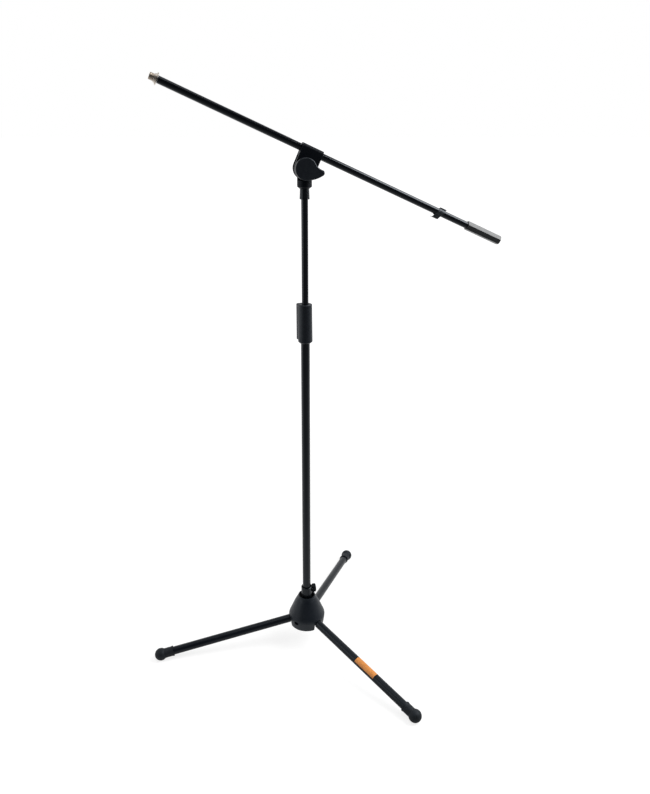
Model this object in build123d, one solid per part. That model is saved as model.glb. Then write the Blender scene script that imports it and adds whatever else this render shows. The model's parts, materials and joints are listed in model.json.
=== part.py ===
from build123d import *
from math import asin, atan2, cos, degrees, hypot, radians, sin, tan
import os

# Boom microphone stand, millimetres, +Z up.
# Origin: on the floor, on the axis of the mast. The boom lies in the XZ plane, its thread toward -X.

os.makedirs("parts", exist_ok=True)

# ---------------------------------------------------------------- driving dimensions

# tubes
boom_tube_r = 8.0
upper_tube_r = 8.0
lower_tube_r = 11.0
leg_tube_r = 11.0
tube_wall = 1.2

# clearances
running = 0.06      # radial, a shaft that turns or slides in its bore
sliding = 0.3       # between faces of pieces that pass each other
seat = 0.1          # between flat faces that press on each other when a knob is tight

# heights along the mast
mast_bottom = 73.5
mast_top = 960.0
upper_bottom = 440.0
pivot_z = 1298.4
upper_top = pivot_z - 48.4

# hub: a cast bell with three pairs of ears inside, and the collar that slides on the mast
leg_count = 3
first_leg = 181.0
bell_bottom = 62.0
bell_wall = 2.4
skirt_low_r = 47.0
skirt_high_r = 50.5
skirt_top = 86.0
dome_points = [(46.2, 102.0), (38.3, 121.0), (27.6, 143.0)]
rim_r = 23.6
rim_z = 152.0
collar_r = lower_tube_r + 4.0
collar_top = 181.0
collar_mouth = 1.9
collar_mouth_deep = 4.0
boss_wall = 3.5
boss_bottom = 74.0
boss_top = 112.0

# leg hinges
hinge_r = 36.0
hinge_z = 84.0
hinge_above_leg = 2.6
tongue_half = 6.0
ear_gap = 0.15
ear_thick = 4.0
ear_round = 11.5
ear_low = 1.5
ear_reach = 10.0
ear_high = 24.0
hinge_pin_r = 3.0
hinge_head_r = 4.8
hinge_head_long = 4.0
hinge_socket_flat = 4.0
hinge_nut_flat = 10.0
hinge_nut_long = 4.5
tool_hole_r = 5.2
tool_guide_wall = 2.2
slot_clear = 0.8

# legs
foot_r = 411.2
ball_r = 16.8
ball_z = 16.5
boot_long = 35.0
boot_r = leg_tube_r + 2.0
boot_lip_r = leg_tube_r + 2.8
boot_lip_long = 2.5
boot_floor = 2.0
leg_start = 15.0
knuckle_round = leg_tube_r - 1.5
knuckle_shoulder = 1.5
knuckle_plug = 27.0
heel_low = 1.0
heel_high = 8.0
label_leg = 2
label_from = 171.0
label_long = 69.0
label_thick = 0.12
label_half_angle = 62.0
label_turn = 6.0

# hub screw
screw_z = 172.0
screw_angle = 1.0
screw_r = 3.0
screw_tip = lower_tube_r + 2.5
pad_long = 2.3
screw_knob_gap = 0.6
screw_knob_r = 11.6
screw_knob_long = 9.6
screw_in_knob = 2.0
screw_knob_round = 2.0
screw_flutes = 9
screw_flute_r = 2.2
screw_flute_in = 1.21

# mast stop
plug_flange_r = lower_tube_r + 3.5
plug_flange_long = 5.5
plug_long = 22.0

# height grip
grip_bottom = mast_top - 67.0
grip_top = mast_top + 24.0
grip_low_r = lower_tube_r + 6.6
grip_high_r = lower_tube_r + 5.6
grip_chamfer = 3.5
grip_cap_long = 4.8
grip_cap_chamfer = 1.2
lobe_angle = 146.0
lobe_out = grip_high_r
lobe_r = 6.2
lobe_bottom = grip_bottom + 8.0
bush_r = lower_tube_r + 2.4
bush_bottom = mast_top - 55.0
bush_lip = 3.0
collet_long = 15.0
collet_low_r = upper_tube_r + 3.5
collet_high_r = upper_tube_r + 2.0
collet_slit = 1.5
guide_long = 30.0
guide_play = 0.05

# neck under the head
neck_bottom = upper_top - 18.0
neck_low_r = upper_tube_r + 3.5
neck_high_r = upper_tube_r + 2.6
neck_lip = 4.0
neck_plug_long = 25.0
neck_stud_r = 4.85
neck_stud_long = 18.0
notch_wide = 5.0
notch_high = 9.0
notch_deep = 0.9
neck_washer = 0.9

# swivel body
swivel_r = 16.8
swivel_low_r = 11.5
swivel_chamfer = 4.0
tongue_thick = 10.0
tongue_r = 21.5
fibre_r = 18.0
fibre_thick = 1.0

# boom clamp
boom_tilt = 24.0
boom_offset = boom_tube_r + 30.0
clamp_half_long = 25.0
clamp_half_thick = 13.0
clamp_over_tube = 3.3
clamp_slot_top = 22.5
clamp_slit = 1.6
clamp_top_round = 7.0
clamp_edge_round = 1.0
clamp_stud_r = 4.0
clamp_nut_flat = 13.0
clamp_nut_long = 5.0
clamp_washer_r = 10.0
clamp_washer_thick = 1.0

# wing knob on the boom clamp
knob_r = 24.5
knob_long = 13.8
knob_wing_back = 2.9
knob_round = 2.6
knob_angle = -13.7
knob_stud_deep = 9.8
wing_top = [(21.0, 12.2), (28.5, 8.3), (38.0, 6.2)]
wing_tip = (42.3, 0.5)
wing_low = [(39.3, -5.9), (26.0, -16.0), (9.5, -22.4)]

# boom, measured along its axis from the clamp's middle, toward the thread
boom_front = 351.0
boom_back = -503.0
stud_plug_long = 22.0
tip_stud_r = 4.76
tip_stud_long = 15.0
tip_lip_long = 0.6
adapter_flange_r = 13.2
adapter_flange_edge = 1.6
adapter_flange_long = 3.8
adapter_step_r = 9.6
adapter_step_long = 3.6
thread_r = 7.94
thread_long = 10.4
thread_chamfer = 0.6
weight_front = -414.0
weight_long = 94.5
weight_flat = 20.0
weight_turn = -17.0
weight_chamfer = 1.2
end_plug_long = 15.0
end_plug_cap = 3.0

# cable clip
clip_at = -336.8
clip_long = 15.5
clip_slant = 26.0
clip_wall = 1.4
clip_ear_high = 3.4
clip_ear_thick = 2.2
hook_gap = 5.8
hook_wall = 1.2
hook_back = 6.0

# ---------------------------------------------------------------- derived

collar_bore = lower_tube_r + running
lower_bore = lower_tube_r - tube_wall
upper_bore = upper_tube_r - tube_wall
boss_r = collar_r + boss_wall
leg_angles = [first_leg + 360.0 / leg_count * i for i in range(leg_count)]
hinge_to_ball = hypot(foot_r - hinge_r, hinge_z - ball_z)
leg_slope = degrees(atan2(hinge_z - ball_z, foot_r - hinge_r) - asin(hinge_above_leg / hinge_to_ball))
leg_long = (hinge_to_ball**2 - hinge_above_leg**2) ** 0.5
neck_top = upper_top + neck_lip
swivel_bottom = neck_top + neck_washer + seat
cheek_inner = tongue_thick / 2 + fibre_thick + seat
knob_back = clamp_half_thick + clamp_washer_thick + seat
adapter_start = boom_front + tip_lip_long

# ---------------------------------------------------------------- helpers


def rod(radius, low, high):
    """A cylinder about Z from one height to another."""
    return Pos(0, 0, low) * Cylinder(radius, high - low, align=(Align.CENTER, Align.CENTER, Align.MIN))


def ring(outer, inner, low, high):
    """A tube about Z."""
    return rod(outer, low, high) - rod(inner, low - 1, high + 1)


def hexagon(flat, low, high):
    """A hexagonal bar about Z, with its size across flats."""
    return Pos(0, 0, low) * extrude(RegularPolygon(flat / 2, 6, major_radius=False), high - low)


def turned(points):
    """A solid turned about Z from (radius, height) corners."""
    return revolve(make_face(Polyline([(r, 0, z) for r, z in points], close=True)), Axis.Z)


def block(x, y, z):
    """A box from three (low, high) pairs."""
    middle = [(low + high) / 2 for low, high in (x, y, z)]
    return Pos(*middle) * Box(x[1] - x[0], y[1] - y[0], z[1] - z[0])


def across(radius, low, high):
    """A cylinder along Y through the local origin."""
    return Rot(-90, 0, 0) * rod(radius, low, high)


def write(name, shape):
    """One STEP file per node."""
    export_step(shape, f"parts/{name}.step")


# frames: the head's frame has its origin on the tilt pivot, X away from the pivot toward the boom,
# Y across, and Z along the boom toward the thread
head = Plane(
    origin=(0, 0, pivot_z),
    x_dir=(sin(radians(boom_tilt)), 0, cos(radians(boom_tilt))),
    z_dir=(-cos(radians(boom_tilt)), 0, sin(radians(boom_tilt))),
).location
boom = head * Pos(boom_offset, 0, 0)

# the leg's frame lies on its tube's axis beside the hinge, X up, Z outward along the leg
slope = radians(leg_slope)
leg = Plane(
    origin=(hinge_r - hinge_above_leg * sin(slope), 0, hinge_z - hinge_above_leg * cos(slope)),
    x_dir=(sin(slope), 0, cos(slope)),
    z_dir=(cos(slope), 0, -sin(slope)),
).location
hinge = Pos(hinge_r, 0, hinge_z)
screw = Rot(0, 0, screw_angle) * Pos(0, 0, screw_z) * Rot(0, 90, 0)

# ---------------------------------------------------------------- hub


def bell(inset, low):
    """The bell's solid outline, drawn inward by inset, from a height up to its rim."""
    skirt_slope = (skirt_high_r - skirt_low_r) / (skirt_top - bell_bottom)
    low_r = skirt_low_r + (low - bell_bottom) * skirt_slope - inset
    dome = [(r - inset, 0, z) for r, z in [(skirt_high_r, skirt_top), *dome_points, (rim_r, rim_z)]]
    outline = [
        Line((0, 0, low), (low_r, 0, low)),
        Line((low_r, 0, low), dome[0]),
        Spline(dome, tangents=[(0.05, 0, 1), (-0.2, 0, 1)]),
        Line(dome[-1], (0, 0, rim_z)),
        Line((0, 0, rim_z), (0, 0, low)),
    ]
    return revolve(make_face(Curve() + outline), Axis.Z)


def leg_slot():
    """What is cut from the skirt round one leg: round above, open below."""
    reach = (skirt_low_r - 12.0, skirt_high_r + 10.0)
    half = leg_tube_r + slot_clear
    round_top = leg * rod(half, reach[0] - hinge_r, reach[1] - hinge_r + 10)
    axis_z = hinge_z - hinge_above_leg - (skirt_high_r - hinge_r) * tan(slope)
    return round_top + block(reach, (-half, half), (bell_bottom - 5, axis_z))


def ear_pair():
    """The two ears of one leg hinge, from the boss to the bell's wall."""
    inner = tongue_half + ear_gap
    outline = Polyline(
        [
            (collar_r - 2, 0, boss_bottom),
            (hinge_r, 0, hinge_z - ear_round),
            (hinge_r, 0, hinge_z + ear_round),
            (hinge_r + ear_reach, 0, hinge_z + ear_round + ear_low),
            (hinge_r + ear_reach, 0, hinge_z + ear_high),
            (collar_r - 2, 0, boss_top),
        ],
        close=True,
    )
    plate = extrude(make_face(outline), ear_thick, dir=(0, 1, 0))
    lug = hinge * across(ear_round, 0, ear_thick)
    one = Pos(0, inner, 0) * (plate + lug)
    other = Pos(0, -inner - ear_thick, 0) * (plate + lug)
    return one + other


def hub_casting():
    """Bell, ears and boss in one casting."""
    filled = bell(0, bell_bottom)
    shell = filled - bell(bell_wall, bell_bottom - 1)
    ears = []
    face = tongue_half + ear_gap + ear_thick
    for angle in leg_angles:
        turn = Rot(0, 0, angle)
        shell -= turn * leg_slot()
        shell -= turn * hinge * across(tool_hole_r, face + 1, skirt_high_r)
        ears.append(turn * ear_pair())
        guide = across(tool_hole_r + tool_guide_wall, face, skirt_high_r)
        ears.append(turn * hinge * (guide - across(tool_hole_r, face, skirt_high_r)))
    boss = rod(boss_r, boss_bottom, boss_top)
    body = shell + ((boss + ears) & filled)
    body -= rod(collar_r, boss_bottom - 5, boss_top + 5)
    for angle in leg_angles:
        body -= Rot(0, 0, angle) * hinge * across(hinge_pin_r, -boss_r, boss_r)
    return body


def mast_collar():
    """The collar in the boss: the mast slides in it and the hub screw clamps through it."""
    body = rod(collar_r, boss_bottom, collar_top)
    body = chamfer(body.edges().group_by(Axis.Z)[-1], 1.5)
    body -= rod(collar_bore, boss_bottom - 1, collar_top + 1)
    body -= rod(lower_tube_r + collar_mouth, collar_top - collar_mouth_deep, collar_top + 1)
    return body - screw * rod(screw_r + running, 5, collar_r + 5)


def hinge_bolt():
    """One leg's pivot bolt, along Y through both ears."""
    head_start = tongue_half + ear_gap + ear_thick
    shank = across(hinge_pin_r, -head_start - hinge_nut_long - 0.5, head_start)
    cap = across(hinge_head_r, head_start, head_start + hinge_head_long)
    socket = Rot(-90, 0, 0) * hexagon(hinge_socket_flat, head_start + 1.5, head_start + hinge_head_long + 1)
    return hinge * (shank + cap - socket)


def hinge_nut():
    """The nut on the pivot bolt's far end."""
    face = tongue_half + ear_gap + ear_thick
    body = Rot(90, 0, 0) * hexagon(hinge_nut_flat, face, face + hinge_nut_long)
    return hinge * (body - across(hinge_pin_r, -face - hinge_nut_long - 1, -face + 1))


def hub_knob():
    """The hub screw's fluted disc."""
    start = collar_r + screw_knob_gap
    body = rod(screw_knob_r, start, start + screw_knob_long)
    body = fillet(body.edges(), screw_knob_round)
    for i in range(screw_flutes):
        turn = Rot(0, 0, 360.0 / screw_flutes * i)
        body -= turn * Pos(screw_knob_r + screw_flute_in, 0, 0) * rod(screw_flute_r, 0, start * 3)
    return screw * (body - rod(screw_r, start - 1, start + screw_knob_long - screw_in_knob))


def hub_screw_stud():
    """The screw moulded into the hub knob."""
    return screw * rod(screw_r, screw_tip, collar_r + screw_knob_gap + screw_knob_long - screw_in_knob)


def hub_pressure_pad():
    """The nylon pad between the screw and the mast."""
    return screw * rod(screw_r, screw_tip - seat - pad_long, screw_tip - seat)


write("hub_casting", hub_casting())
write("mast_collar", mast_collar())
write("leg_pivot_bolts", Compound(children=[Rot(0, 0, angle) * hinge_bolt() for angle in leg_angles]))
write("leg_pivot_nuts", Compound(children=[Rot(0, 0, angle) * hinge_nut() for angle in leg_angles]))
write("hub_knob", hub_knob())
write("hub_screw_stud", hub_screw_stud())
write("hub_pressure_pad", hub_pressure_pad())

# ---------------------------------------------------------------- legs


def leg_tube():
    """One leg's steel tube."""
    return leg * ring(leg_tube_r, leg_tube_r - tube_wall, leg_start, leg_long - boot_floor)


def leg_knuckle():
    """The fitting in the leg's inner end: plug, shoulder, hinge tongue and the heel that stops it."""
    plug = rod(leg_tube_r - tube_wall, leg_start, leg_start + knuckle_plug)
    shoulder = rod(leg_tube_r, leg_start - knuckle_shoulder, leg_start)
    eye = Pos(hinge_above_leg, 0, 0) * across(knuckle_round, -tongue_half, tongue_half)
    half = (hinge_above_leg - knuckle_round, min(hinge_above_leg + knuckle_round, leg_tube_r - 1))
    arm = block(half, (-tongue_half, tongue_half), (0, leg_start - knuckle_shoulder))
    body = leg * (plug + shoulder + eye + arm)
    heel_x = (boss_r + 0.2, hinge_r)
    body += block(heel_x, (-tongue_half, tongue_half), (hinge_z + heel_low, hinge_z + heel_high))
    return body - hinge * across(hinge_pin_r + running, -boss_r, boss_r)


def leg_boot():
    """The rubber foot: a ball with a sleeve over the tube's end, flat where it stands."""
    ball_join = leg_long - (ball_r**2 - boot_r**2) ** 0.5
    mouth = leg_long - boot_long
    lip = mouth + boot_lip_long
    outline = [
        Polyline(
            [
                (0, 0, leg_long + ball_r),
                (0, 0, leg_long - boot_floor),
                (leg_tube_r, 0, leg_long - boot_floor),
                (leg_tube_r, 0, mouth),
                (boot_lip_r, 0, mouth),
                (boot_lip_r, 0, lip),
                (boot_r, 0, lip + boot_lip_long),
                (boot_r, 0, ball_join),
            ]
        ),
        ThreePointArc((boot_r, 0, ball_join), (ball_r, 0, leg_long), (0, 0, leg_long + ball_r)),
    ]
    body = leg * revolve(make_face(Curve() + outline), Axis.Z)
    floor = block((foot_r - 60, foot_r + 60), (-60, 60), (-40, 0))
    return body - floor


def leg_label():
    """The blank sticker wrapped over the tube."""
    wrap = ring(leg_tube_r + label_thick, leg_tube_r, label_from, label_from + label_long)
    side = 4 * leg_tube_r
    half = radians(label_half_angle)
    wedge = make_face(Polyline([(0, 0), (side * cos(half), side * sin(half)),
                                (side * cos(half), -side * sin(half))], close=True))
    sector = Rot(0, 0, label_turn) * Pos(0, 0, label_from - 1) * extrude(wedge, label_long + 2)
    return leg * (wrap & sector)


for number, angle in enumerate(leg_angles, start=1):
    turn = Rot(0, 0, angle)
    write(f"leg_{number}_tube", turn * leg_tube())
    write(f"leg_{number}_knuckle", turn * leg_knuckle())
    write(f"leg_{number}_boot", turn * leg_boot())
write("leg_label", Rot(0, 0, leg_angles[label_leg - 1]) * leg_label())

# ---------------------------------------------------------------- mast


def mast_stop_plug():
    """The plug in the mast's lower end; its flange meets the boss and stops the mast."""
    flange = rod(plug_flange_r, mast_bottom - plug_flange_long, mast_bottom)
    return flange + rod(lower_bore, mast_bottom, mast_bottom + plug_long)


def clutch_bush():
    """The bush pressed on the mast's upper end, on which the height grip turns."""
    sleeve = ring(bush_r, lower_tube_r, bush_bottom, mast_top)
    return sleeve + ring(bush_r, upper_tube_r + 2 * sliding, mast_top, mast_top + bush_lip)


def clutch_collet():
    """The split cone that grips the upper tube."""
    low = mast_top + bush_lip
    bore = upper_tube_r + running
    body = turned([(bore, low), (collet_low_r, low), (collet_high_r, low + collet_long), (bore, low + collet_long)])
    return body - block((0, 2 * collet_low_r), (-collet_slit / 2, collet_slit / 2), (low - 1, low + collet_long + 1))


def grip_outline():
    """The grip's section: a circle with a finger lobe drawn out on one side."""
    reach = lobe_out
    lean = asin((grip_high_r - lobe_r) / reach)
    touch = (grip_high_r * sin(lean), grip_high_r * cos(lean))
    lobe = (reach + lobe_r * sin(lean), lobe_r * cos(lean))
    sides = Polyline([touch, lobe, (lobe[0], -lobe[1]), (touch[0], -touch[1])], close=True)
    return Circle(grip_high_r) + Pos(reach, 0) * Circle(lobe_r) + make_face(sides)


def height_grip():
    """The twist grip that tightens the collet."""
    cone = turned(
        [
            (0, grip_bottom),
            (grip_low_r - grip_chamfer, grip_bottom),
            (grip_low_r, grip_bottom + grip_chamfer),
            (grip_high_r, grip_top),
            (0, grip_top),
        ]
    )
    lobe = Pos(0, 0, lobe_bottom) * extrude(grip_outline(), grip_top - lobe_bottom)
    body = cone + Rot(0, 0, lobe_angle) * lobe
    shoulder = mast_top + bush_lip + sliding
    body -= rod(bush_r + running, grip_bottom - 1, shoulder)
    return body - rod(collet_low_r + 2 * sliding, shoulder - 1, grip_top + 1)


def grip_cap():
    """The ring snapped on the grip's top."""
    body = Pos(0, 0, grip_top) * extrude(grip_outline(), grip_cap_long)
    body = chamfer(body.edges().group_by(Axis.Z)[-1], grip_cap_chamfer)
    return Rot(0, 0, lobe_angle) * body - rod(upper_tube_r + 2 * sliding, grip_top - 1, grip_top + 9)


def neck_stud():
    """The plug in the upper tube's end, with the stud on which the head turns."""
    return rod(upper_bore, upper_top - neck_plug_long, upper_top) + rod(
        neck_stud_r, upper_top, upper_top + neck_stud_long
    )


def neck_collar():
    """The collar over the upper tube's end, with its small arched notch in front."""
    body = turned([(0, neck_bottom), (neck_low_r, neck_bottom), (neck_high_r, neck_top), (0, neck_top)])
    body -= rod(upper_tube_r, neck_bottom - 1, upper_top)
    body -= rod(neck_stud_r + 2 * sliding, upper_top - 1, neck_top + 1)
    arch = Pos(0, 0, neck_bottom + notch_high) * across(notch_wide / 2, -neck_low_r - 2, -neck_low_r + notch_deep)
    legs = block(
        (-notch_wide / 2, notch_wide / 2),
        (-neck_low_r - 2, -neck_low_r + notch_deep),
        (neck_bottom + 2, neck_bottom + notch_high),
    )
    return body - arch - legs


write("mast_stop_plug", mast_stop_plug())
write("lower_tube", ring(lower_tube_r, lower_bore, mast_bottom, mast_top))
write("clutch_bush", clutch_bush())
write("clutch_collet", clutch_collet())
write("height_grip", height_grip())
write("grip_cap", grip_cap())
write("upper_tube", ring(upper_tube_r, upper_bore, upper_bottom, upper_top))
write("upper_guide_bush", ring(lower_bore - guide_play, upper_tube_r, upper_bottom, upper_bottom + guide_long))
write("neck_stud", neck_stud())
write("neck_collar", neck_collar())
write("neck_washer", ring(neck_high_r - 1, neck_stud_r + running, neck_top, neck_top + neck_washer))

# ---------------------------------------------------------------- head


def swivel_body():
    """The head's lower half: a round base under the clamp, and the tongue between its cheeks."""
    base_top = pivot_z - clamp_half_long - sliding
    base = turned(
        [
            (0, swivel_bottom),
            (swivel_low_r, swivel_bottom),
            (swivel_r, swivel_bottom + swivel_chamfer),
            (swivel_r, base_top),
            (0, base_top),
        ]
    )
    at_pivot = Pos(0, 0, pivot_z)
    half = tongue_thick / 2
    base += at_pivot * across(tongue_r, -half, half)
    base += block((-swivel_r, swivel_r), (-half, half), (base_top - 1, pivot_z - tongue_r / 2)) & rod(
        swivel_r, swivel_bottom, pivot_z
    )
    base -= rod(neck_stud_r + running, swivel_bottom - 1, upper_top + neck_stud_long + 1.5)
    return base - at_pivot * across(clamp_stud_r + running, -swivel_r, swivel_r)


def friction_washers():
    """The two fibre washers, one on each side of the tongue."""
    half = tongue_thick / 2
    pair = []
    for side in (-1, 1):
        ends = sorted((side * half, side * (half + fibre_thick)))
        body = across(fibre_r, *ends) - across(clamp_stud_r + 2 * sliding, ends[0] - 1, ends[1] + 1)
        pair.append(Pos(0, 0, pivot_z) * body)
    return Compound(children=pair)


def boom_clamp():
    """The one-piece clamp: two cheeks over the tongue, a slit, and the boom's bore above."""
    top = boom_offset + boom_tube_r + clamp_over_tube
    half = clamp_half_long
    outline = [
        Polyline([(0, 0, half), (top, 0, half), (top, 0, -half), (0, 0, -half)]),
        ThreePointArc((0, 0, -half), (-half, 0, 0), (0, 0, half)),
    ]
    body = extrude(make_face(Curve() + outline), clamp_half_thick, dir=(0, 1, 0), both=True)
    body = fillet(body.faces().filter_by(Axis.Y).edges(), clamp_edge_round)
    section = block((-half - 1, top), (-clamp_half_thick, clamp_half_thick), (-half - 1, half + 1))
    body &= fillet(section.edges().filter_by(Axis.Z).group_by(Axis.X)[-1], clamp_top_round)
    long = (-half - 1, half + 1)
    body -= block((-half - 1, clamp_slot_top), (-cheek_inner, cheek_inner), long)
    body -= block((clamp_slot_top - 1, boom_offset), (-clamp_slit / 2, clamp_slit / 2), long)
    body -= Pos(boom_offset, 0, 0) * rod(boom_tube_r + running, *long)
    body -= across(clamp_stud_r + sliding, -clamp_half_thick - 1, clamp_half_thick + 1)
    pocket = clamp_half_thick - clamp_nut_long
    return head * (body - Rot(-90, 0, 0) * hexagon(clamp_nut_flat, pocket, clamp_half_thick + 1))


def clamp_nut():
    """The hexagon nut held in the clamp's rear cheek."""
    start = clamp_half_thick - clamp_nut_long
    body = Rot(-90, 0, 0) * hexagon(clamp_nut_flat, start, clamp_half_thick)
    return head * (body - across(clamp_stud_r + running, start - 1, clamp_half_thick + 1))


def clamp_washer():
    """The steel washer under the wing knob."""
    low = -clamp_half_thick - clamp_washer_thick
    body = across(clamp_washer_r, low, -clamp_half_thick)
    return head * (body - across(clamp_stud_r + 2 * running, low - 1, 0))


knob = Plane(
    origin=(0, -knob_back, pivot_z),
    x_dir=(cos(radians(knob_angle)), 0, sin(radians(knob_angle))),
    z_dir=(0, -1, 0),
).location


def clamp_knob():
    """The wing knob: a disc with one wing drawn out to the side."""
    edge = [
        ThreePointArc(*wing_top),
        ThreePointArc(wing_top[-1], wing_tip, wing_low[0]),
        ThreePointArc(*wing_low),
        Line(wing_low[-1], wing_top[0]),
    ]
    face = Circle(knob_r) + make_face(Curve() + edge)
    front = Pos(0, 0, knob_wing_back) * extrude(face, knob_long - knob_wing_back)
    front = fillet(front.edges().group_by(Axis.Z)[-1], knob_round)
    body = front + rod(knob_r, 0, knob_wing_back)
    return knob * (body - rod(clamp_stud_r, -1, knob_stud_deep))


write("swivel_body", swivel_body())
write("friction_washers", friction_washers())
write("boom_clamp", boom_clamp())
write("clamp_nut", clamp_nut())
write("clamp_washer", clamp_washer())
write("clamp_knob", clamp_knob())
write("clamp_stud", knob * rod(clamp_stud_r, -knob_back - clamp_half_thick, knob_stud_deep))

# ---------------------------------------------------------------- boom


def tip_stud():
    """The plug in the boom's front end, with the inner stud that carries the adapter."""
    plug = rod(boom_tube_r - tube_wall, boom_front - stud_plug_long, boom_front)
    lip = rod(boom_tube_r, boom_front, adapter_start)
    return boom * (plug + lip + rod(tip_stud_r, adapter_start, adapter_start + tip_stud_long))


def thread_adapter():
    """The microphone thread, with its bevelled flange and step."""
    flange_end = adapter_start + adapter_flange_long
    step_end = flange_end + adapter_step_long
    end = step_end + thread_long
    bevel = (adapter_flange_long - adapter_flange_edge) / 2
    body = turned(
        [
            (tip_stud_r, adapter_start),
            (adapter_flange_r - 2 * bevel, adapter_start),
            (adapter_flange_r, adapter_start + bevel),
            (adapter_flange_r, flange_end - bevel),
            (adapter_flange_r - 2 * bevel, flange_end),
            (adapter_step_r, flange_end),
            (adapter_step_r, step_end),
            (thread_r, step_end),
            (thread_r, end - thread_chamfer),
            (thread_r - thread_chamfer, end),
            (tip_stud_r, end),
        ]
    )
    return boom * body


def counterweight():
    """The hexagonal weight over the boom's rear end."""
    back = weight_front - weight_long
    body = hexagon(weight_flat, back, weight_front)
    corner = weight_flat / 3**0.5
    ends = turned(
        [
            (0, back),
            (corner - weight_chamfer, back),
            (corner, back + weight_chamfer),
            (corner, weight_front - weight_chamfer),
            (corner - weight_chamfer, weight_front),
            (0, weight_front),
        ]
    )
    body = Rot(0, 0, weight_turn) * (body & ends)
    return boom * (body - rod(boom_tube_r, back - 1, weight_front + 1))


def boom_end_plug():
    """The plastic plug that closes the boom's rear end."""
    plug = rod(boom_tube_r - tube_wall, boom_back, boom_back + end_plug_long)
    return boom * (plug + rod(boom_tube_r, boom_back - end_plug_cap, boom_back))


def cable_clip():
    """The spring clip: a slanted band round the boom, two opening tabs above, a cable hook below."""
    long = (clip_at - clip_long, clip_at + clip_long)
    bore = boom_tube_r + running
    outer = bore + clip_wall
    band = ring(outer, bore, *long)
    ears = block((bore, outer + clip_ear_high - clip_wall), (-clip_ear_thick * 1.5, clip_ear_thick * 1.5), long)
    ears -= rod(bore, *long)
    gap = block((0, 3 * outer), (-clip_ear_thick / 2, clip_ear_thick / 2), long)
    low = -outer - hook_gap - hook_wall
    hook = block((low, 0), (-hook_back - hook_wall, hook_back), long)
    hook -= rod(outer - clip_wall / 2, *long)
    hook -= block((low + hook_wall, -outer), (-hook_back, hook_back + 1), long)
    hook -= block((-outer, 1), (hook_back - hook_wall, hook_back + 1), long)
    body = band + ears + hook - gap
    tilt = Pos(0, 0, clip_at) * Rot(0, clip_slant, 0)
    slab = tilt * block((-60, 60), (-60, 60), (-clip_long / 2 * cos(radians(clip_slant)),
                                               clip_long / 2 * cos(radians(clip_slant))))
    return boom * (body & slab)


write("boom_tube", boom * ring(boom_tube_r, boom_tube_r - tube_wall, boom_back, boom_front))
write("tip_stud", tip_stud())
write("thread_adapter", thread_adapter())
write("counterweight", counterweight())
write("boom_end_plug", boom_end_plug())
write("cable_clip", cable_clip())
print("leg slope", round(leg_slope, 3), "leg length", round(leg_long, 2))
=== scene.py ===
import json
import math

import bmesh
import bpy
from mathutils import Matrix, Vector


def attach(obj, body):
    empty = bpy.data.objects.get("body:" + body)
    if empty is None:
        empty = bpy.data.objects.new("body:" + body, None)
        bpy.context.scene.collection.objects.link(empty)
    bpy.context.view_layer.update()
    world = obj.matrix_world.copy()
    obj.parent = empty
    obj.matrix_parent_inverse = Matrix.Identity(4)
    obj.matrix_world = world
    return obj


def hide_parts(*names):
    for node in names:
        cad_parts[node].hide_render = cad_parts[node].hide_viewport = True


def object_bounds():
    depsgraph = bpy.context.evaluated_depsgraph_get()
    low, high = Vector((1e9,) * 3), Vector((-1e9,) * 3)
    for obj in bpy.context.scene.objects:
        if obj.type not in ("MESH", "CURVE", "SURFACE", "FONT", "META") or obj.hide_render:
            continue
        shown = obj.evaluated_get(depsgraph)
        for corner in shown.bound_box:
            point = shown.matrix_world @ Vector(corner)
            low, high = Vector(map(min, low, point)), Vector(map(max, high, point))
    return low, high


# boom microphone stand: a finish for every piece, the cut thread at the boom's tip,
# and a floor, lamps and camera to show it
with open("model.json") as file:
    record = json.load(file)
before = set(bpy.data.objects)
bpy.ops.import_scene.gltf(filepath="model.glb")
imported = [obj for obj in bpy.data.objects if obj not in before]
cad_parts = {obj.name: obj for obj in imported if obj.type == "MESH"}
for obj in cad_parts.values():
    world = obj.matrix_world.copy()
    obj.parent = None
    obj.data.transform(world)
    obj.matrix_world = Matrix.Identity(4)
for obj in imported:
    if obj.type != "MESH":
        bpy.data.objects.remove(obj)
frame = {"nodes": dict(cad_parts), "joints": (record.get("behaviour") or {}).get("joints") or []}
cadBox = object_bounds()
nodes = frame["nodes"]
joints = {joint["name"]: joint for joint in frame["joints"]}
print("frame loaded,", len(nodes), "pieces")

millimetre = 0.001


# finishes: mottled colour, uneven roughness and a fine grain, all on object coordinates

surface = {"mottleDetail": 3.0, "patchDetail": 2.0, "grainDetail": 1.0,
           "noiseLow": 0.3, "noiseHigh": 0.7, "ringWobble": 0.6}


def noiseOn(tree, where, scale, detail):
    noise = tree.nodes.new("ShaderNodeTexNoise")
    noise.inputs["Scale"].default_value = scale
    noise.inputs["Detail"].default_value = detail
    tree.links.new(where, noise.inputs["Vector"])
    return noise.outputs["Fac"]


# maps a value to low and high from another span, by default the middle of a noise
def spread(tree, value, low, high, fromLow=surface["noiseLow"], fromHigh=surface["noiseHigh"]):
    ranged = tree.nodes.new("ShaderNodeMapRange")
    ranged.inputs["From Min"].default_value = fromLow
    ranged.inputs["From Max"].default_value = fromHigh
    ranged.inputs["To Min"].default_value = low
    ranged.inputs["To Max"].default_value = high
    tree.links.new(value, ranged.inputs["Value"])
    return ranged.outputs["Result"]


def turned(tree, where, turn):
    mapping = tree.nodes.new("ShaderNodeMapping")
    mapping.inputs["Rotation"].default_value = turn
    tree.links.new(where, mapping.inputs["Vector"])
    return mapping.outputs["Vector"]


def addBump(tree, height, depth, under=None):
    bump = tree.nodes.new("ShaderNodeBump")
    bump.inputs["Distance"].default_value = depth
    tree.links.new(height, bump.inputs["Height"])
    if under is not None:
        tree.links.new(under, bump.inputs["Normal"])
    return bump.outputs["Normal"]


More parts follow.
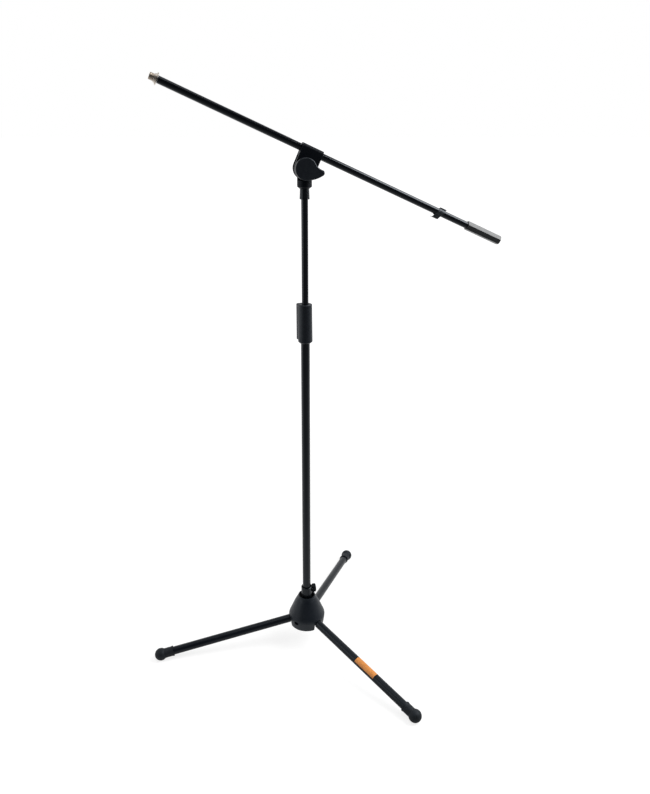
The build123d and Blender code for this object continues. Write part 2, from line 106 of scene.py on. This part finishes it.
def makeFinish(name, look):
    finish = bpy.data.materials.new(name)
    finish.use_nodes = True
    tree = finish.node_tree
    shader = tree.nodes["Principled BSDF"]
    where = tree.nodes.new("ShaderNodeTexCoord").outputs["Object"]

    tint = tree.nodes.new("ShaderNodeMix")
    tint.data_type = "RGBA"
    tint.inputs["A"].default_value = (*look["dark"], 1)
    tint.inputs["B"].default_value = (*look["light"], 1)
    mottle = noiseOn(tree, where, look["mottle"], surface["mottleDetail"])
    tree.links.new(spread(tree, mottle, 0.0, 1.0), tint.inputs["Factor"])
    tree.links.new(tint.outputs["Result"], shader.inputs["Base Color"])

    patches = noiseOn(tree, where, look["patches"], surface["patchDetail"])
    tree.links.new(spread(tree, patches, *look["rough"]), shader.inputs["Roughness"])

    grain = noiseOn(tree, where, look["grain"], surface["grainDetail"])
    normal = addBump(tree, grain, look["grainDepth"])
    if "rings" in look:
        wave = tree.nodes.new("ShaderNodeTexWave")
        wave.bands_direction = "Z"
        wave.inputs["Scale"].default_value = look["rings"]
        wave.inputs["Distortion"].default_value = surface["ringWobble"]
        tree.links.new(turned(tree, where, look["ringTurn"]), wave.inputs["Vector"])
        normal = addBump(tree, wave.outputs["Fac"], look["ringDepth"], normal)
    tree.links.new(normal, shader.inputs["Normal"])

    for socket, value in look.get("set", {}).items():
        shader.inputs[socket].default_value = value
    return finish


def dress(finish, *names):
    for name in names:
        mesh = nodes[name].data
        mesh.materials.clear()
        mesh.materials.append(finish)


boomLean = math.radians(24.0)      # the boom rises this much toward the thread
coolTint = (0.84, 0.92, 1.0, 1.0)  # the cold gloss of the black finishes

tubeEnamel = {"dark": (0.0012, 0.0016, 0.0028), "light": (0.002, 0.0026, 0.0042),
              "mottle": 14.0, "rough": (0.17, 0.24), "patches": 40.0,
              "grain": 420.0, "grainDepth": 0.00002,
              "set": {"IOR": 1.5, "Specular IOR Level": 0.4, "Specular Tint": coolTint}}
dress(makeFinish("gloss enamel", tubeEnamel), "boom_tube", "upper_tube", "lower_tube")

legEnamel = {**tubeEnamel, "dark": (0.0028, 0.0042, 0.0068), "light": (0.005, 0.0068, 0.0098),
             "rough": (0.27, 0.36)}
legEnamel["set"] = {"IOR": 1.5, "Specular IOR Level": 0.25, "Specular Tint": coolTint}
dress(makeFinish("leg enamel", legEnamel), "leg_1_tube", "leg_2_tube", "leg_3_tube")

hubCoat = {"dark": (0.0025, 0.0045, 0.0085), "light": (0.005, 0.0075, 0.012),
           "mottle": 30.0, "rough": (0.4, 0.5), "patches": 90.0,
           "grain": 1500.0, "grainDepth": 0.00006,
           "set": {"IOR": 1.5, "Specular IOR Level": 0.42, "Specular Tint": coolTint}}
dress(makeFinish("satin powder coat", hubCoat), "hub_casting")

collarPaint = {"dark": (0.0012, 0.0018, 0.003), "light": (0.0025, 0.0034, 0.005),
               "mottle": 40.0, "rough": (0.26, 0.34), "patches": 120.0,
               "grain": 1200.0, "grainDepth": 0.00003,
               "set": {"IOR": 1.5, "Specular IOR Level": 0.36, "Specular Tint": coolTint}}
dress(makeFinish("semi gloss collar", collarPaint), "mast_collar", "neck_collar")

weightPaint = {"dark": (0.009, 0.011, 0.013), "light": (0.015, 0.0175, 0.0195),
               "mottle": 60.0, "rough": (0.3, 0.38), "patches": 150.0,
               "grain": 900.0, "grainDepth": 0.00005,
               "set": {"IOR": 1.5}}
dress(makeFinish("painted bar", weightPaint), "counterweight")

gripNylon = {"dark": (0.002, 0.0036, 0.007), "light": (0.0042, 0.006, 0.0098),
             "mottle": 55.0, "rough": (0.44, 0.54), "patches": 160.0,
             "grain": 2400.0, "grainDepth": 0.00006,
             "set": {"IOR": 1.5, "Specular IOR Level": 0.4, "Specular Tint": coolTint}}
dress(makeFinish("moulded grip nylon", gripNylon), "height_grip", "grip_cap", "clamp_knob",
      "boom_end_plug", "mast_stop_plug")

headNylon = {**gripNylon, "dark": (0.0004, 0.0009, 0.0028), "light": (0.001, 0.0018, 0.0045)}
headNylon["set"] = {"IOR": 1.5, "Specular IOR Level": 0.17, "Specular Tint": coolTint}
dress(makeFinish("moulded head nylon", headNylon), "neck_washer", "swivel_body", "boom_clamp",
      "hub_knob", "leg_1_knuckle", "leg_2_knuckle", "leg_3_knuckle")

clipNylon = {**gripNylon, "dark": (0.012, 0.0145, 0.017), "light": (0.018, 0.021, 0.024),
             "rough": (0.36, 0.46)}
dress(makeFinish("spring clip nylon", clipNylon), "cable_clip")

footRubber = {"dark": (0.003, 0.0045, 0.007), "light": (0.0062, 0.0082, 0.0112),
              "mottle": 80.0, "rough": (0.58, 0.7), "patches": 120.0,
              "grain": 1800.0, "grainDepth": 0.00009,
              "set": {"IOR": 1.5, "Specular IOR Level": 0.34, "Specular Tint": coolTint,
                      "Sheen Weight": 0.03, "Sheen Roughness": 0.5}}
dress(makeFinish("foot rubber", footRubber), "leg_1_boot", "leg_2_boot", "leg_3_boot")

brightNickel = {"dark": (0.48, 0.43, 0.38), "light": (0.66, 0.61, 0.55), "mottle": 160.0,
                "rough": (0.24, 0.36), "patches": 240.0, "grain": 2500.0, "grainDepth": 0.00001,
                "rings": 1100.0, "ringDepth": 0.00001, "ringTurn": (0, math.pi / 2 - boomLean, 0),
                "set": {"Metallic": 1.0}}
nickel = makeFinish("bright nickel", brightNickel)

zincPlate = {"dark": (0.42, 0.42, 0.43), "light": (0.62, 0.62, 0.64), "mottle": 260.0,
             "rough": (0.28, 0.42), "patches": 300.0, "grain": 2200.0, "grainDepth": 0.00002,
             "set": {"Metallic": 1.0}}
dress(makeFinish("zinc plate", zincPlate), "clamp_nut", "clamp_washer", "clamp_stud",
      "hub_screw_stud", "neck_stud", "tip_stud")

blackOxide = {"dark": (0.018, 0.018, 0.02), "light": (0.035, 0.035, 0.038), "mottle": 300.0,
              "rough": (0.4, 0.55), "patches": 300.0, "grain": 2000.0, "grainDepth": 0.00003,
              "set": {"Metallic": 1.0}}
dress(makeFinish("black oxide", blackOxide), "leg_pivot_bolts", "leg_pivot_nuts")

paleNylon = {"dark": (0.62, 0.6, 0.54), "light": (0.72, 0.7, 0.65), "mottle": 120.0,
             "rough": (0.45, 0.55), "patches": 200.0, "grain": 1600.0, "grainDepth": 0.00004,
             "set": {"IOR": 1.5}}
dress(makeFinish("natural nylon", paleNylon), "clutch_bush", "clutch_collet",
      "upper_guide_bush", "hub_pressure_pad")

brownFibre = {"dark": (0.1, 0.045, 0.025), "light": (0.19, 0.09, 0.05), "mottle": 900.0,
              "rough": (0.7, 0.85), "patches": 400.0, "grain": 2600.0, "grainDepth": 0.00008}
dress(makeFinish("pressed fibre", brownFibre), "friction_washers")

labelFilm = {"dark": (0.6, 0.215, 0.04), "light": (0.67, 0.26, 0.056), "mottle": 45.0,
             "rough": (0.36, 0.46), "patches": 70.0, "grain": 300.0, "grainDepth": 0.00004,
             "set": {"IOR": 1.46}}
dress(makeFinish("blank label film", labelFilm), "leg_label")
print("finishes on")


# the microphone adapter: flange, step and a cut thread, in place of the plain one

def shellObject(name, bm, place, finish, sharpFrom):
    bmesh.ops.transform(bm, matrix=place, verts=bm.verts)
    bmesh.ops.recalc_face_normals(bm, faces=bm.faces)
    mesh = bpy.data.meshes.new(name)
    bm.to_mesh(mesh)
    bm.free()
    piece = bpy.data.objects.new(name, mesh)
    bpy.context.scene.collection.objects.link(piece)
    mesh.materials.append(finish)
    for face in mesh.polygons:
        face.use_smooth = True
    mesh.set_sharp_from_angle(angle=math.radians(sharpFrom))
    return piece


# a run of edges from (radius, height) corners, in the XZ plane
def chain(bm, corners):
    points = [bm.verts.new((radius, 0, height)) for radius, height in corners]
    return points + [bm.edges.new(pair) for pair in zip(points, points[1:])]


# millimetres; start is along the boom from the tilt axis, and widths are radii
adapter = {"boomOffset": 38.0, "start": 351.6, "bore": 4.8,
           "flange": 13.2, "flangeLong": 3.8, "flangeBevel": 1.1,
           "step": 9.6, "stepLong": 3.6, "stepBevel": 0.5,
           "threadLong": 10.4, "crest": 7.92, "root": 7.34, "pitch": 0.94, "leadIn": 0.7,
           "stepsPerTurn": 48, "roundSteps": 96, "sharpFrom": 30.0}
mergeWithin = 0.001
cutWithin = 0.0001
onRim = 0.01


# flange and step, turned about Z
def adapterBody(size):
    bm = bmesh.new()
    bevel = size["flangeBevel"]
    flangeTop = size["start"] + size["flangeLong"]
    stepTop = flangeTop + size["stepLong"]
    flat = size["flange"] - 2 * bevel    # where the flange's slope meets its face
    stepBevel = size["stepBevel"]
    outline = [(size["bore"], size["start"]), (flat, size["start"]),
               (size["flange"], size["start"] + bevel), (size["flange"], flangeTop - bevel),
               (flat, flangeTop), (size["step"], flangeTop),
               (size["step"], stepTop - stepBevel), (size["step"] - stepBevel, stepTop),
               (size["bore"], stepTop), (size["bore"], size["start"])]
    bmesh.ops.spin(bm, geom=chain(bm, outline), cent=(0, 0, 0), axis=(0, 0, 1),
                   angle=math.tau, steps=size["roundSteps"], use_merge=True)
    bmesh.ops.remove_doubles(bm, verts=bm.verts, dist=mergeWithin)
    return bm, stepTop


# one tooth run up a helix, cut flat at both ends, with a lead-in and a closed bore
def adapterThread(size, low):
    bm = bmesh.new()
    pitch = size["pitch"]
    high = low + size["threadLong"]
    turns = math.ceil(size["threadLong"] / pitch) + 2    # a spare turn at each end, cut off below
    base = low - pitch * 1.5
    rootFlat, crestFrom, crestTo = pitch / 8, pitch / 2, pitch * 5 / 8
    tooth = [(size["root"], base), (size["root"], base + rootFlat),
             (size["crest"], base + crestFrom), (size["crest"], base + crestTo),
             (size["root"], base + pitch)]
    steps = turns * size["stepsPerTurn"]
    bmesh.ops.spin(bm, geom=chain(bm, tooth), cent=(0, 0, 0), axis=(0, 0, 1),
                   angle=math.tau * turns, dvec=(0, 0, pitch * turns / steps), steps=steps)
    bmesh.ops.remove_doubles(bm, verts=bm.verts, dist=mergeWithin)
    for height, outward in ((low, -1), (high, 1)):
        everything = bm.verts[:] + bm.edges[:] + bm.faces[:]
        bmesh.ops.bisect_plane(bm, geom=everything, dist=cutWithin, plane_co=(0, 0, height),
                               plane_no=(0, 0, outward), clear_outer=True)
    for point in bm.verts:
        radius = math.hypot(point.co.x, point.co.y)
        limit = size["crest"] - size["leadIn"] + (high - point.co.z)
        if radius > limit:
            point.co.x *= limit / radius
            point.co.y *= limit / radius
    rims = [edge for edge in bm.edges if edge.is_boundary]
    for height in (low, high):
        rim = [edge for edge in rims if abs(edge.verts[0].co.z - height) < onRim]
        made = bmesh.ops.extrude_edge_only(bm, edges=rim)["geom"]
        for point in (item for item in made if isinstance(item, bmesh.types.BMVert)):
            shrink = size["bore"] / math.hypot(point.co.x, point.co.y)
            point.co.x *= shrink
            point.co.y *= shrink
    boreRims = [edge for edge in bm.edges if edge.is_boundary]
    bmesh.ops.bridge_loops(bm, edges=boreRims)
    return bm


bodyShell, threadLow = adapterBody(adapter)
threadShell = adapterThread(adapter, threadLow)
threadMesh = bpy.data.meshes.new("thread part")
threadShell.to_mesh(threadMesh)
threadShell.free()
bodyShell.from_mesh(threadMesh)
bpy.data.meshes.remove(threadMesh)

boomDirection = Vector(joints["boom_slide"]["axis"]).normalized()
across = Vector((0, 1, 0))
boomUp = across.cross(boomDirection)
boomPoint = Vector(joints["boom_tilt"]["pos_m"]) + boomUp * adapter["boomOffset"] * millimetre
boomFrame = Matrix((boomUp, across, boomDirection)).transposed().to_4x4()
boomFrame.translation = boomPoint

inMetres = Matrix.Scale(millimetre, 4)
threadPiece = shellObject("mic_thread_cut", bodyShell, boomFrame @ inMetres, nickel,
                          adapter["sharpFrom"])
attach(threadPiece, "boom")
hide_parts("thread_adapter")
print("thread cut,", len(threadPiece.data.polygons), "faces")


# pale floor, and a white surround that camera, gloss and glass all see

room = {"floorSize": 80.0, "floorColor": (0.3, 0.3, 0.3),
        "nearWhite": 0.78, "farWhite": 1.0, "fadeFrom": 0.7, "fadeTo": 2.6,    # by distance
        "glossFrom": -0.9, "glossTo": 0.5,    # the floor's gloss share rises over this, by Y
        "worldLevel": 0.42, "frontGloss": 0.03, "backGloss": 1.0,
        "frontEdge": -0.1, "backEdge": 0.8}   # where the surround's gloss level begins and ends


def multiplied(tree, first, second):
    product = tree.nodes.new("ShaderNodeMath")
    product.operation = "MULTIPLY"
    tree.links.new(first, product.inputs[0])
    tree.links.new(second, product.inputs[1])
    return product.outputs[0]


def larger(tree, first, second):
    most = tree.nodes.new("ShaderNodeMath")
    most.operation = "MAXIMUM"
    tree.links.new(first, most.inputs[0])
    tree.links.new(second, most.inputs[1])
    return most.outputs[0]


# 1 for what camera and glass see, glossShare for what gloss and metal see, otherwise 0
def seenRays(tree, glossShare):
    path = tree.nodes.new("ShaderNodeLightPath")
    clear = larger(tree, path.outputs["Is Camera Ray"], path.outputs["Is Transmission Ray"])
    return larger(tree, clear, multiplied(tree, path.outputs["Is Glossy Ray"], glossShare))


def floorFinish(look):
    finish = bpy.data.materials.new("pale studio floor")
    finish.use_nodes = True
    tree = finish.node_tree
    tree.nodes.remove(tree.nodes["Principled BSDF"])
    matt = tree.nodes.new("ShaderNodeBsdfDiffuse")
    matt.inputs["Color"].default_value = (*look["floorColor"], 1)
    glow = tree.nodes.new("ShaderNodeEmission")
    where = tree.nodes.new("ShaderNodeTexCoord").outputs["Object"]
    far = tree.nodes.new("ShaderNodeVectorMath")
    far.operation = "LENGTH"
    tree.links.new(where, far.inputs[0])
    level = spread(tree, far.outputs["Value"], look["nearWhite"], look["farWhite"],
                   look["fadeFrom"], look["fadeTo"])
    place = tree.nodes.new("ShaderNodeSeparateXYZ")
    tree.links.new(where, place.inputs[0])
    share = spread(tree, place.outputs["Y"], 0.0, 1.0, look["glossFrom"], look["glossTo"])
    tree.links.new(multiplied(tree, level, seenRays(tree, share)), glow.inputs["Strength"])
    both = tree.nodes.new("ShaderNodeAddShader")
    tree.links.new(matt.outputs[0], both.inputs[0])
    tree.links.new(glow.outputs[0], both.inputs[1])
    tree.links.new(both.outputs[0], tree.nodes["Material Output"].inputs["Surface"])
    return finish


floorMesh = bpy.data.meshes.new("floor")
bm = bmesh.new()
bmesh.ops.create_grid(bm, x_segments=1, y_segments=1, size=room["floorSize"] / 2)
bm.to_mesh(floorMesh)
bm.free()
floor = bpy.data.objects.new("floor", floorMesh)
bpy.context.scene.collection.objects.link(floor)
floor.location.z = cadBox[0].z
floorMesh.materials.append(floorFinish(room))

world = bpy.data.worlds.new("white surround")
bpy.context.scene.world = world
world.use_nodes = True
tree = world.node_tree
surround = tree.nodes["Background"]
surround.inputs["Color"].default_value = (1, 1, 1, 1)
side = tree.nodes.new("ShaderNodeSeparateXYZ")
tree.links.new(tree.nodes.new("ShaderNodeTexCoord").outputs["Generated"], side.inputs[0])
glossLevel = spread(tree, side.outputs["Y"], room["frontGloss"], room["backGloss"],
                    room["frontEdge"], room["backEdge"])
path = tree.nodes.new("ShaderNodeLightPath")
ambient = tree.nodes.new("ShaderNodeMath")
ambient.operation = "MULTIPLY"
ambient.inputs[1].default_value = room["worldLevel"]
tree.links.new(path.outputs["Is Diffuse Ray"], ambient.inputs[0])
strength = larger(tree, seenRays(tree, glossLevel), ambient.outputs[0])
tree.links.new(strength, surround.inputs["Strength"])
print("floor and surround in place")


# lamps: one soft box at each side and one above, all aimed at the mast's middle

softBoxes = {
    "left soft box": {"at": (-2.3, -0.5, 1.5), "size": (1.1, 2.4), "power": 14.5},
    "right soft box": {"at": (1.9, -0.3, 2.2), "size": (1.5, 1.9), "power": 69.0},
    "top soft box": {"at": (-0.2, -0.3, 3.2), "size": (1.6, 1.6), "power": 12.0},
}
lampAim = Vector((0, 0, 0.75))
for name, box in softBoxes.items():
    lamp = bpy.data.lights.new(name, "AREA")
    lamp.shape = "RECTANGLE"
    lamp.size, lamp.size_y = box["size"]
    lamp.energy = box["power"]
    lampObject = bpy.data.objects.new(name, lamp)
    bpy.context.scene.collection.objects.link(lampObject)
    lampObject.location = box["at"]
    towards = lampAim - Vector(box["at"])
    lampObject.rotation_euler = towards.to_track_quat("-Z", "Y").to_euler()
    lampObject.visible_camera = False
print("lamps on")


# camera: standing in front, a little to the left and above

shot = {"at": (-0.28427, -1.65066, 1.41773), "turn": 11.635, "down": 21.656, "roll": 0.378,
        "lens": 32.57, "sensor": 36.0, "shift": (-0.003, -0.0012), "clip": (0.01, 200.0)}
turn, down, roll = (math.radians(shot[angle]) for angle in ("turn", "down", "roll"))
forward = Vector((math.sin(turn) * math.cos(down), math.cos(turn) * math.cos(down),
                  -math.sin(down)))
level = Vector((math.cos(turn), -math.sin(turn), 0))
upward = level.cross(forward)
rightSide = level * math.cos(roll) + upward * math.sin(roll)
topSide = upward * math.cos(roll) - level * math.sin(roll)
cameraData = bpy.data.cameras.new("front camera")
cameraData.lens = shot["lens"]
cameraData.sensor_width = shot["sensor"]
cameraData.shift_x, cameraData.shift_y = shot["shift"]
cameraData.clip_start, cameraData.clip_end = shot["clip"]
camera = bpy.data.objects.new("front camera", cameraData)
bpy.context.scene.collection.objects.link(camera)
facing = Matrix((rightSide, topSide, -forward)).transposed().to_4x4()
camera.matrix_world = Matrix.Translation(shot["at"]) @ facing
bpy.context.scene.camera = camera
bpy.context.scene.view_settings.view_transform = "Standard"
print("camera set")
